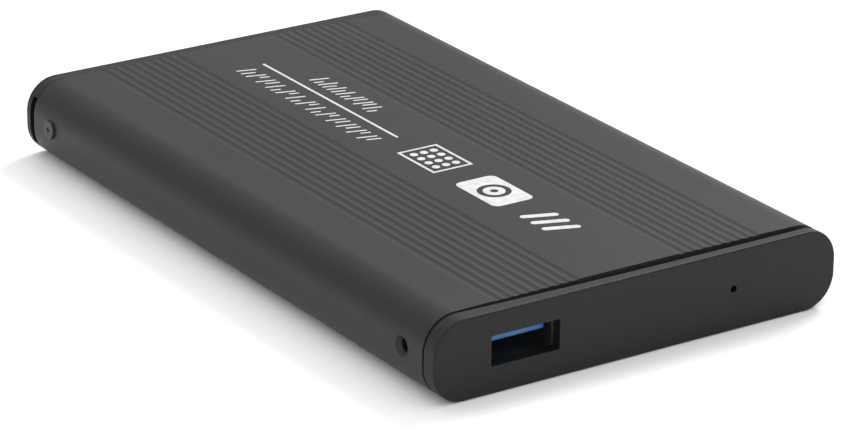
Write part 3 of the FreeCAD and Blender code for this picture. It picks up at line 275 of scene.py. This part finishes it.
# Metals, most of them with fine parallel lines from the way they were finished, and faint stains. Lines and
# grains under 0.1 mm are drawn at 0.1 mm or more so that they show.
metals = {
    # steel, stamped and nickel plated: bright and faintly warm
    "shell": {"name": "nickel_plated_steel", "dark": "#8F8C86", "light": "#AAA7A0",
              "roughness": (0.30, 0.42), "grain": (0.12, (40, 1, 40), 2.0), "patch": (4.8, evenly, 4.0),
              "depthMm": 0.002, "strength": 0.6, "shader": {"Metallic": 1.0}},
    # gold, flashed over nickel: deep yellow, polished by wiping
    "gold": {"name": "gold_flash", "dark": "#C79A3E", "light": "#E0B65A", "roughness": (0.20, 0.30),
             "grain": (0.1, (1, 20, 1), 2.0), "patch": (4, evenly, 4.0), "depthMm": 0.001, "strength": 0.6,
             "shader": {"Metallic": 1.0}},
    # steel wire, tinned by dipping: soft white shine
    "tin": {"name": "tinned_steel", "dark": "#A9AAAA", "light": "#C4C5C6", "roughness": (0.25, 0.38),
            "grain": (0.15, (1, 1, 8), 2.0), "patch": (6, evenly, 4.0), "depthMm": 0.002, "strength": 0.6,
            "shader": {"Metallic": 1.0}},
    # steel can, drawn and plated: bright, with drawing lines
    "can": {"name": "drawn_can", "dark": "#B9B8B3", "light": "#D2D1CC", "roughness": (0.16, 0.26),
            "grain": (0.12, (30, 1, 1), 2.0), "patch": (4.8, evenly, 4.0), "depthMm": 0.001, "strength": 0.6,
            "shader": {"Metallic": 1.0}},
    # stainless steel, stamped from brushed sheet: long soft lines down the drive
    "cover": {"name": "brushed_stainless", "dark": "#77787A", "light": "#898A8C",
              "roughness": (0.46, 0.56), "grain": (0.22, (1, 90, 1), 2.0), "patch": (8.8, evenly, 4.0),
              "depthMm": 0.004, "strength": 0.6, "shader": {"Metallic": 1.0}},
    # silicon steel, punched and stacked: the edges of 0.35 mm sheets
    "laminations": {"name": "stacked_steel", "dark": "#5E5F63", "light": "#707175", "roughness": (0.38, 0.50),
                    "grain": (0.35, (30, 30, 1), 2.0), "patch": (14, evenly, 4.0), "depthMm": 0.01,
                    "strength": 0.6,
                    "shader": {"Metallic": 1.0}},
    # steel, blanked and nickel plated: flat silver with a rolled direction
    "yoke": {"name": "nickel_plated_yoke", "dark": "#9C9A94", "light": "#B5B3AC", "roughness": (0.26, 0.36),
             "grain": (0.3, (1, 12, 1), 2.0), "patch": (12, evenly, 4.0), "depthMm": 0.003, "strength": 0.6,
             "shader": {"Metallic": 1.0}},
    # neodymium, sintered and nickel plated: slightly pebbled shine
    "magnet": {"name": "plated_magnet", "dark": "#8D8C89", "light": "#A9A8A4", "roughness": (0.22, 0.34),
               "grain": (0.6, evenly, 2.0), "patch": (20, evenly, 4.0), "depthMm": 0.006, "strength": 0.6,
               "shader": {"Metallic": 1.0}},
    # steel, centreless ground: fine bright rings
    "ground": {"name": "ground_steel", "dark": "#A5A6A8", "light": "#BDBEC0", "roughness": (0.16, 0.26),
               "grain": (0.1, (1, 1, 30), 2.0), "patch": (4, evenly, 4.0), "depthMm": 0.001, "strength": 0.6,
               "shader": {"Metallic": 1.0}},
    # steel screws, zinc plated dark to match the case: satin charcoal with a faint mottle
    "caseScrew": {"name": "dark_zinc_screw", "dark": "#3A3A3A", "light": "#444444", "roughness": (0.42, 0.54),
                  "grain": (0.2, evenly, 2.0), "patch": (3, evenly, 4.0), "depthMm": 0.004, "strength": 0.6,
                  "shader": {"Metallic": 0.55, "Specular IOR Level": 0.35}},
    # bronze, sintered and oiled: brown gold, finely porous
    "bronze": {"name": "sintered_bronze", "dark": "#8A6B34", "light": "#A58347", "roughness": (0.40, 0.55),
               "grain": (0.15, evenly, 2.0), "patch": (6, evenly, 4.0), "depthMm": 0.01, "strength": 0.6,
               "shader": {"Metallic": 1.0}},
    # aluminium, pressure die cast and tumbled: soft grey with a rough skin and flow swirls
    "casting": {"name": "die_cast_aluminium", "dark": "#84868A", "light": "#9DA0A4",
                "roughness": (0.42, 0.58), "grain": (0.5, evenly, 5.0), "patch": (9, evenly, 5.0),
                "depthMm": 0.03, "strength": 0.5, "shader": {"Metallic": 0.9}},
}


def plainFinish(look):
    material, tree, shader, place = startMaterial(look)
    laySkin(tree, shader, place, look)
    return material


# Turned metal: tool rings about the part's own axis, as a lathe leaves them. A real feed is about 0.1 mm, drawn
# wider so that the rings show.
turned = {
    # aluminium, turned: silver with fine rings
    "hub": {"name": "turned_aluminium", "dark": "#A9ABAE", "light": "#C0C2C4", "roughness": (0.22, 0.34),
            "feedMm": 0.35, "centre": spindle},
    # disk, polished and sputtered: a mirror with the faintest rings
    "disc": {"name": "sputtered_disk", "dark": "#B5B1AC", "light": "#C6C3BF", "roughness": (0.03, 0.06),
             "feedMm": 1.4, "centre": spindle},
    # aluminium arm, milled round its bore
    "arm": {"name": "machined_arm", "dark": "#A4A6A9", "light": "#BBBDC0", "roughness": (0.26, 0.38),
            "feedMm": 0.4, "centre": pivot},
    # copper wire, enamelled and machine wound: close parallel turns under glossy amber
    "wire": {"name": "enamelled_wire", "dark": "#8C4A22", "light": "#C0703A", "roughness": (0.20, 0.35),
             "feedMm": 0.25, "centre": pivot, "depthMm": 0.05, "strength": 0.8,
             "shader": {"Metallic": 0.85, "Coat Weight": 0.6, "Coat Roughness": 0.1}},
}
# what the turned metals share, unless one has its own value
lathe = {"patch": (6, evenly, 3.0), "depthMm": 0.002, "strength": 0.4, "wander": 0.4,
         "shader": {"Metallic": 1.0}}


def turnedMetal(own):
    look = {**lathe, **own}
    material, tree, shader, place = startMaterial(look)
    centred = addNode(tree, "ShaderNodeVectorMath", {"operation": "SUBTRACT", 1: look["centre"]}, {0: place})
    rings = addNode(tree, "ShaderNodeTexWave",
                    {"wave_type": "RINGS", "rings_direction": "Z", "Distortion": look["wander"],
                     "Detail": 1.0, "Scale": 1 / (look["feedMm"] * mm * wavesPerUnit)},
                    {"Vector": centred.outputs[0]})
    laySkin(tree, shader, place, look, rings.outputs["Fac"])
    return material


# Glass-epoxy board under solder mask: a glossy green skin over raised copper tracks, gold round the holes.
board = {
    "name": "solder_mask",
    "dark": "#0F3B22",
    "light": "#12432A",
    "track": "#1B5A34",
    "ring": "#B98F3C",
    "roughness": (0.26, 0.36),
    "patch": (12, evenly, 3.0),
    "depthMm": 0.035,
    "strength": 0.8,
    "trackMm": 0.9,              # spacing of neighbouring tracks, drawn about twice as wide so that it shows
    "trackEdge": (0.55, 0.68),   # the wave's height where a track's edge begins and ends
    "regionMm": 6.5,             # how far a bundle of tracks runs before it turns
    "viaMm": 2.6,                # spacing of the plated holes
    "viaScatter": 0.8,
    "viaEdge": (0.09, 0.11),     # a hole's edge, as a share of that spacing
    "shader": {"IOR": 1.55, "Coat Weight": 0.35, "Coat Roughness": 0.12},
}


def solderMask():
    look = board
    material, tree, shader, place = startMaterial(look)
    # square regions, each with its tracks along X or along Y
    scaled = addNode(tree, "ShaderNodeMapping", {"Scale": [1 / (look["regionMm"] * mm)] * 3},
                     {"Vector": place})
    cell = addNode(tree, "ShaderNodeTexVoronoi",
                   {"distance": "CHEBYCHEV", "voronoi_dimensions": "2D", "Scale": 1.0},
                   {"Vector": scaled.outputs[0]})
    shade = addNode(tree, "ShaderNodeSeparateColor", {}, {0: cell.outputs["Color"]})
    pick = addNode(tree, "ShaderNodeMath", {"operation": "GREATER_THAN", 1: 0.5}, {0: shade.outputs[0]})
    bundles = []
    for direction in ("X", "Y"):
        bundles.append(addNode(tree, "ShaderNodeTexWave",
                               {"wave_type": "BANDS", "bands_direction": direction,
                                "Scale": 1 / (look["trackMm"] * mm * wavesPerUnit)},
                               {"Vector": place}).outputs["Fac"])
    wave = addNode(tree, "ShaderNodeMix", {"data_type": "FLOAT"},
                   {0: pick.outputs[0], 2: bundles[0], 3: bundles[1]})
    low, high = look["trackEdge"]
    track = addNode(tree, "ShaderNodeMapRange", {"From Min": low, "From Max": high},
                    {"Value": wave.outputs[0]}).outputs[0]
    spaced = addNode(tree, "ShaderNodeMapping", {"Scale": [1 / (look["viaMm"] * mm)] * 3}, {"Vector": place})
    via = addNode(tree, "ShaderNodeTexVoronoi",
                  {"voronoi_dimensions": "2D", "Scale": 1.0, "Randomness": look["viaScatter"]},
                  {"Vector": spaced.outputs[0]})
    low, high = look["viaEdge"]
    hole = addNode(tree, "ShaderNodeMapRange",
                   {"From Min": low, "From Max": high, "To Min": 1.0, "To Max": 0.0},
                   {"Value": via.outputs["Distance"]}).outputs[0]
    colour = laySkin(tree, shader, place, look, track)[0]
    for share, code in ((track, look["track"]), (hole, look["ring"])):
        colour = addNode(tree, "ShaderNodeMix", {"data_type": "RGBA", 7: linear(code)},
                         {0: share, 6: colour}).outputs[2]
    tree.links.new(colour, shader.inputs["Base Color"])
    return material


# Polyurethane foam, cut from a block: open cells of about half a millimetre, quite matt.
foam = {"name": "cut_foam", "dark": "#1D1D1F", "light": "#333336", "roughness": (0.86, 0.96),
        "cellMm": 0.6, "patch": (7, evenly, 3.0), "depthMm": 0.15, "strength": 0.8,
        "shader": {"Sheen Weight": 0.25}}


def cutFoam():
    look = foam
    material, tree, shader, place = startMaterial(look)
    scaled = addNode(tree, "ShaderNodeMapping", {"Scale": [1 / (look["cellMm"] * mm)] * 3}, {"Vector": place})
    cell = addNode(tree, "ShaderNodeTexVoronoi", {"Scale": 1.0}, {"Vector": scaled.outputs[0]})
    laySkin(tree, shader, place, look, cell.outputs["Distance"])
    return material


# Filter cloth, woven from white polyester: crossed threads a quarter of a millimetre apart, drawn twice that.
cloth = {"name": "filter_cloth", "dark": "#C9C8C2", "light": "#E6E5E0", "roughness": (0.84, 0.94),
         "threadMm": 0.5, "patch": (3, evenly, 3.0), "depthMm": 0.08, "strength": 0.8,
         "shader": {"Sheen Weight": 0.3}}


def filterCloth():
    look = cloth
    material, tree, shader, place = startMaterial(look)
    threads = []
    for direction in ("X", "Y"):
        threads.append(addNode(tree, "ShaderNodeTexWave",
                               {"wave_type": "BANDS", "bands_direction": direction,
                                "Scale": 1 / (look["threadMm"] * mm * wavesPerUnit)},
                               {"Vector": place}).outputs["Fac"])
    weave = addNode(tree, "ShaderNodeMath", {"operation": "MULTIPLY"}, {0: threads[0], 1: threads[1]})
    laySkin(tree, shader, place, look, weave.outputs[0])
    return material


def paintCadNodes():
    even = {key: plainFinish(look) for key, look in {**moulded, **metals}.items()}
    worked = {key: turnedMetal(look) for key, look in turned.items()}
    table = {
        anodisedAluminium(): ["case_sleeve"],
        solderMask(): ["bridge_board", "drive_board"],
        filterCloth(): ["breather_filter", "recirculation_filter"],
        even["caps"]: ["front_cap", "rear_cap"],
        even["casting"]: ["drive_base"],
        even["label"]: ["drive_label"],
        even["lens"]: ["status_led"],
        even["tongue"]: ["usb_tongue"],
        even["connector"]: ["sata_socket", "drive_sata_plug", "flex_bracket", "coil_overmold"],
        even["chip"]: ["bridge_chip", "flash_chip", "controller_chip", "memory_chip", "motor_driver_chip"],
        even["ramp"]: ["head_ramp", "latch_lever"],
        even["insulator"]: ["board_insulator"],
        even["gasket"]: ["cover_gasket"],
        even["flex"]: ["flex_cable"],
        even["slider"]: ["head_sliders"],
        even["capacitor"]: ["board_passives"],
        even["ferrite"]: ["power_inductor"],
        even["shell"]: ["usb_shell", "board_screws", "cover_screws", "drive_board_screws", "clamp_screw"],
        even["gold"]: ["usb_contacts", "sata_socket_contacts", "drive_sata_contacts"],
        even["tin"]: ["led_leads"],
        even["can"]: ["crystal"],
        even["cover"]: ["drive_cover"],
        even["laminations"]: ["stator_core"],
        even["yoke"]: ["lower_magnet_plate", "upper_magnet_plate"],
        even["magnet"]: ["coil_magnets", "rotor_magnet"],
        even["ground"]: ["pivot_shaft", "pivot_bearing", "spindle_shaft", "head_suspensions"],
        even["caseScrew"]: ["rear_screws"],
        even["bronze"]: ["spindle_bearing"],
        worked["hub"]: ["spindle_hub", "spacer_ring", "disk_clamp"],
        worked["disc"]: ["lower_platter", "upper_platter"],
        worked["arm"]: ["actuator_arm"],
        worked["wire"]: ["stator_coils", "voice_coil"],
    }
    for material, names in table.items():
        for name in names:
            data = nodes[name].data
            data.materials.clear()
            data.materials.append(material)
    unpainted = sorted(set(nodes) - {name for names in table.values() for name in names})
    print("painted nodes; replaced by a piece:", unpainted)
    return even


# foam pad glued under the roof, which keeps the drive from rattling
foamPad = {
    "cornerMm": 2.0,
    "crushMm": 1.0,              # how far in from the edge the cut sides are rounded over
    "edgeShare": 0.55,           # thickness left at the very edge
    "rippleMm": 0.05,
    "rippleAcrossMm": 6.0,
    "steps": (64, 96),
    "fill": 0.8,
}


def makeFoamPad():
    look = foamPad
    low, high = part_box("roof_foam_pad")
    middle, half = (low + high) / 2, (high - low) / 2
    across, along = look["steps"]
    corner, crush = look["cornerMm"] * mm, look["crushMm"] * mm
    points = []
    for side in (-1, 1):
        for j in range(along + 1):
            for i in range(across + 1):
                x = half.x * (2 * i / across - 1)
                y = half.y * (2 * j / along - 1)
                inset = min(half.x - abs(x), half.y - abs(y), crush) / crush
                overX, overY = abs(x) - (half.x - corner), abs(y) - (half.y - corner)
                if overX > 0 and overY > 0:          # draw the square corner in to a round one
                    share = max(overX, overY) / math.hypot(overX, overY)
                    x = math.copysign(half.x - corner + overX * share, x)
                    y = math.copysign(half.y - corner + overY * share, y)
                bulge = math.sqrt(1 - (1 - inset) ** 2)
                thick = look["edgeShare"] + (1 - look["edgeShare"]) * bulge
                ripple = noise.noise(Vector((x, y, side * 0.1)) / (look["rippleAcrossMm"] * mm))
                sink = look["rippleMm"] * mm * (ripple + 1) / 2 * inset
                points.append((middle.x + x, middle.y + y, middle.z + side * (half.z * thick - sink)))
    row = across + 1
    layer = row * (along + 1)
    faces = []
    for j in range(along):
        for i in range(across):
            a = j * row + i
            faces.append((a, a + row, a + row + 1, a + 1))
            faces.append((layer + a, layer + a + 1, layer + a + row + 1, layer + a + row))
    # the cut sides join the two layers all the way round
    rim = list(range(across)) + [j * row + across for j in range(along)]
    rim += [along * row + i for i in range(across, 0, -1)] + [j * row for j in range(along, 0, -1)]
    for a, b in zip(rim, rim[1:] + rim[:1]):
        faces.append((a, b, layer + b, layer + a))
    mesh = bpy.data.meshes.new("foam_pad_skin")
    mesh.from_pydata(points, [], faces)
    mesh.shade_smooth()
    mesh.materials.append(cutFoam())
    piece = bpy.data.objects.new("foam_pad_skin", mesh)
    bpy.context.scene.collection.objects.link(piece)
    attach(piece, "case")
    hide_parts("roof_foam_pad")
    print("foam pad made")


# printed signs on the roof of the sleeve, all abstract, measured in millimetres from its middle
signs = {
    "inkMm": 0.016,
    "strokeMm": 0.42,
    "rule": {"x": (0.25, 0.75), "y": (5.7, 49.3), "corner": 0.2},
    "longRow": {"x": (-5.4, -2.2), "y": (6.2, 48.8), "count": 13},
    "shortRow": {"x": (3.1, 6.3), "y": (18.0, 38.0), "count": 7},
    "pairOffsets": (0.25, -0.2),     # where a long stroke and its short one stand, in shares of the pitch
    "shortShares": (0.45, 0.7),
    "slant": 0.28,                   # how far a stroke leans, as a share of its reach
    "grid": {"x": (-3.7, 4.3), "y": (-11.5, -0.4), "line": 0.5, "dots": (3, 4), "dotRadius": 0.72},
    "disk": {"x": (-3.7, 4.3), "y": (-29.6, -17.3), "corner": 1.3, "ring": (2.9, 1.9), "hub": 0.7},
    "pills": {"x": (-2.8, 3.4), "y": (-44.0, -34.8), "count": 3, "width": 1.3, "lean": 0.9},
}


def roundLoop(x, y, radius, steps=32):
    return [(x + radius * math.cos(2 * math.pi * i / steps), y + radius * math.sin(2 * math.pi * i / steps))
            for i in range(steps)]


def boxLoop(x0, x1, y0, y1, corner=0.0, steps=6):
    if corner <= 0:
        return [(x0, y0), (x1, y0), (x1, y1), (x0, y1)]
    points = []
    for cx, cy, start in ((x1 - corner, y0 + corner, -90), (x1 - corner, y1 - corner, 0),
                          (x0 + corner, y1 - corner, 90), (x0 + corner, y0 + corner, 180)):
        for i in range(steps + 1):
            angle = math.radians(start + 90 * i / steps)
            points.append((cx + corner * math.cos(angle), cy + corner * math.sin(angle)))
    return points


def barLoop(start, end, width, steps=8):
    # a straight stroke with round ends
    (x0, y0), (x1, y1) = start, end
    along = math.atan2(y1 - y0, x1 - x0)
    points = []
    for cx, cy, base in ((x1, y1, along - math.pi / 2), (x0, y0, along + math.pi / 2)):
        for i in range(steps + 1):
            angle = base + math.pi * i / steps
            points.append((cx + width / 2 * math.cos(angle), cy + width / 2 * math.sin(angle)))
    return points


def printSign(name, loops, material, height, body):
    curve = bpy.data.curves.new(name, "CURVE")
    curve.dimensions = "2D"
    curve.fill_mode = "BOTH"
    curve.extrude = signs["inkMm"] * mm / 2
    for loop in loops:
        spline = curve.splines.new("POLY")
        spline.points.add(len(loop) - 1)
        for point, (x, y) in zip(spline.points, loop):
            point.co = (x * mm, y * mm, 0, 1)
        spline.use_cyclic_u = True
    shape = bpy.data.objects.new(name, curve)
    shape.location.z = height
    bpy.context.scene.collection.objects.link(shape)
    bpy.context.view_layer.update()
    mesh = bpy.data.meshes.new_from_object(shape.evaluated_get(bpy.context.evaluated_depsgraph_get()))
    mesh.transform(shape.matrix_world)
    bpy.data.objects.remove(shape)
    piece = bpy.data.objects.new(name, mesh)
    piece.data.materials.clear()
    piece.data.materials.append(material)
    bpy.context.scene.collection.objects.link(piece)
    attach(piece, body)


def strokeRow(look, rng):
    # a band of slanted strokes of uneven length, like a hatched scale
    (x0, x1), (y0, y1) = look["x"], look["y"]
    pitch = (y1 - y0) / look["count"]
    loops = []
    for i in range(look["count"]):
        y = y1 - pitch * (i + 0.5)
        for offset, share in zip(signs["pairOffsets"], (1.0, rng.choice(signs["shortShares"]))):
            reach = (x1 - x0) * share
            base = x0 if rng.random() < 0.5 else x1 - reach
            middle, rise = y + offset * pitch, signs["slant"] * reach / 2
            loops.append(barLoop((base, middle + rise), (base + reach, middle - rise), signs["strokeMm"]))
    return loops


def printRoof(name, loops, material):
    printSign(name, loops, material, sleeveHigh.z, "case")


def makeSigns(material):
    rng = random.Random(7)
    rule = signs["rule"]
    printRoof("print_rule", [boxLoop(*rule["x"], *rule["y"], rule["corner"])], material)
    printRoof("print_long_row", strokeRow(signs["longRow"], rng), material)
    printRoof("print_short_row", strokeRow(signs["shortRow"], rng), material)
    grid = signs["grid"]
    (x0, x1), (y0, y1), line = grid["x"], grid["y"], grid["line"]
    loops = [boxLoop(x0, x1, y0, y1), boxLoop(x0 + line, x1 - line, y0 + line, y1 - line)]
    across, down = grid["dots"]
    for i in range(across):
        for j in range(down):
            x = x0 + (x1 - x0) * (i + 1) / (across + 1)
            y = y0 + (y1 - y0) * (j + 1) / (down + 1)
            loops.append(roundLoop(x, y, grid["dotRadius"], 20))
    printRoof("print_grid", loops, material)
    disk = signs["disk"]
    (x0, x1), (y0, y1) = disk["x"], disk["y"]
    cx, cy = (x0 + x1) / 2, (y0 + y1) / 2
    loops = [boxLoop(x0, x1, y0, y1, disk["corner"]), roundLoop(cx, cy, disk["ring"][0]),
             roundLoop(cx, cy, disk["ring"][1]), roundLoop(cx, cy, disk["hub"], 20)]
    printRoof("print_disk", loops, material)
    pills = signs["pills"]
    (x0, x1), (y0, y1) = pills["x"], pills["y"]
    step = (y1 - y0) / pills["count"]
    loops = []
    for i in range(pills["count"]):
        y = y1 - step * (i + 0.5)
        half, lean = pills["width"] / 2, pills["lean"]
        loops.append(barLoop((x0 + half, y + lean), (x1 - half, y - lean), pills["width"]))
    printRoof("print_pills", loops, material)
    print("signs printed")


# abstract bars overprinted on the drive's label
labelPrint = {
    "marginMm": 4.0,
    "rowMm": 3.2,
    "barMm": 0.9,
    "lengths": (0.9, 0.55, 0.75, 0.4, 0.85, 0.6),   # of the rows, as shares of the label's width
    "blockMm": (20, 9),
    "blockCornerMm": 1.0,
    "stripeMm": (0.5, 8.0),
    "stripes": 22,
}


def makeLabelPrint(material):
    look = labelPrint
    rng = random.Random(11)
    low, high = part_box("drive_label")
    left, right = low.x / mm + look["marginMm"], high.x / mm - look["marginMm"]
    bottom, top = low.y / mm + look["marginMm"], high.y / mm - look["marginMm"]
    wide, deep = look["blockMm"]
    loops = [boxLoop(left, left + wide, top - deep, top, look["blockCornerMm"])]
    for i, share in enumerate(look["lengths"]):
        y = top - deep - look["rowMm"] * (i + 1.5)
        loops.append(barLoop((left, y), (left + (right - left) * share, y), look["barMm"]))
    thick, tall = look["stripeMm"]
    x = left
    for i in range(look["stripes"]):
        width = thick * rng.choice((1, 1, 2))
        loops.append(boxLoop(x, x + width, bottom, bottom + tall))
        x += width + thick * rng.choice((1, 2, 3))
    printSign("label_print", loops, material, high.z, "drive_tray")
    print("label printed")


# floor and lights; the air gives more light from the zenith than from the horizon
studio = {
    "floor": {"name": "matte_floor", "dark": "#F6F6F6", "light": "#FAFAFA", "roughness": (0.8, 0.9),
              "grain": (3, evenly, 2.0), "patch": (400, evenly, 2.0), "depthMm": 0.01, "strength": 0.1},
    "floorSize": 6.0,
    "floorGapMm": 0.05,          # keeps the floor and the underside from lying in one plane
    "horizon": 0.62,
    "zenith": 0.95,
    "key": {"place": (1.2, 0.5, 1.2), "size": (0.6, 0.6), "watts": 18},
    "fill": {"place": (-1.2, -0.5, 1.0), "size": (1.2, 1.2), "watts": 4},
    "top": {"place": (0.0, 0.2, 1.7), "size": (1.8, 1.8), "watts": 7},
}


def makeStudio():
    half = studio["floorSize"] / 2
    mesh = bpy.data.meshes.new("floor")
    corners = [(-half, -half, 0), (half, -half, 0), (half, half, 0), (-half, half, 0)]
    mesh.from_pydata(corners, [], [(0, 1, 2, 3)])
    floor = bpy.data.objects.new("floor", mesh)
    floor.location.z = cadBox[0].z - studio["floorGapMm"] * mm
    mesh.materials.append(plainFinish(studio["floor"]))
    bpy.context.scene.collection.objects.link(floor)
    world = bpy.data.worlds.new("studio_air")
    world.use_nodes = True
    tree = world.node_tree
    direction = addNode(tree, "ShaderNodeTexCoord").outputs["Generated"]
    split = addNode(tree, "ShaderNodeSeparateXYZ", {}, {0: direction})
    height = addNode(tree, "ShaderNodeMapRange", {"To Min": studio["horizon"], "To Max": studio["zenith"]},
                     {"Value": split.outputs["Z"]})
    air = tree.nodes["Background"]
    air.inputs["Color"].default_value = (1, 1, 1, 1)
    tree.links.new(height.outputs[0], air.inputs["Strength"])
    bpy.context.scene.world = world
    for name in ("key", "fill", "top"):
        look = studio[name]
        data = bpy.data.lights.new(name, "AREA")
        data.shape = "RECTANGLE"
        data.size, data.size_y = look["size"]
        data.energy = look["watts"]
        lamp = bpy.data.objects.new(name, data)
        lamp.location = look["place"]
        lamp.rotation_euler = (-Vector(look["place"])).to_track_quat("-Z", "Y").to_euler()
        bpy.context.scene.collection.objects.link(lamp)
    bpy.context.scene.view_settings.view_transform = "Standard"
    print("studio set")


makeCamera()
finishes = paintCadNodes()
makeFoamPad()
makeSigns(finishes["ink"])
makeLabelPrint(finishes["labelInk"])
makeStudio()
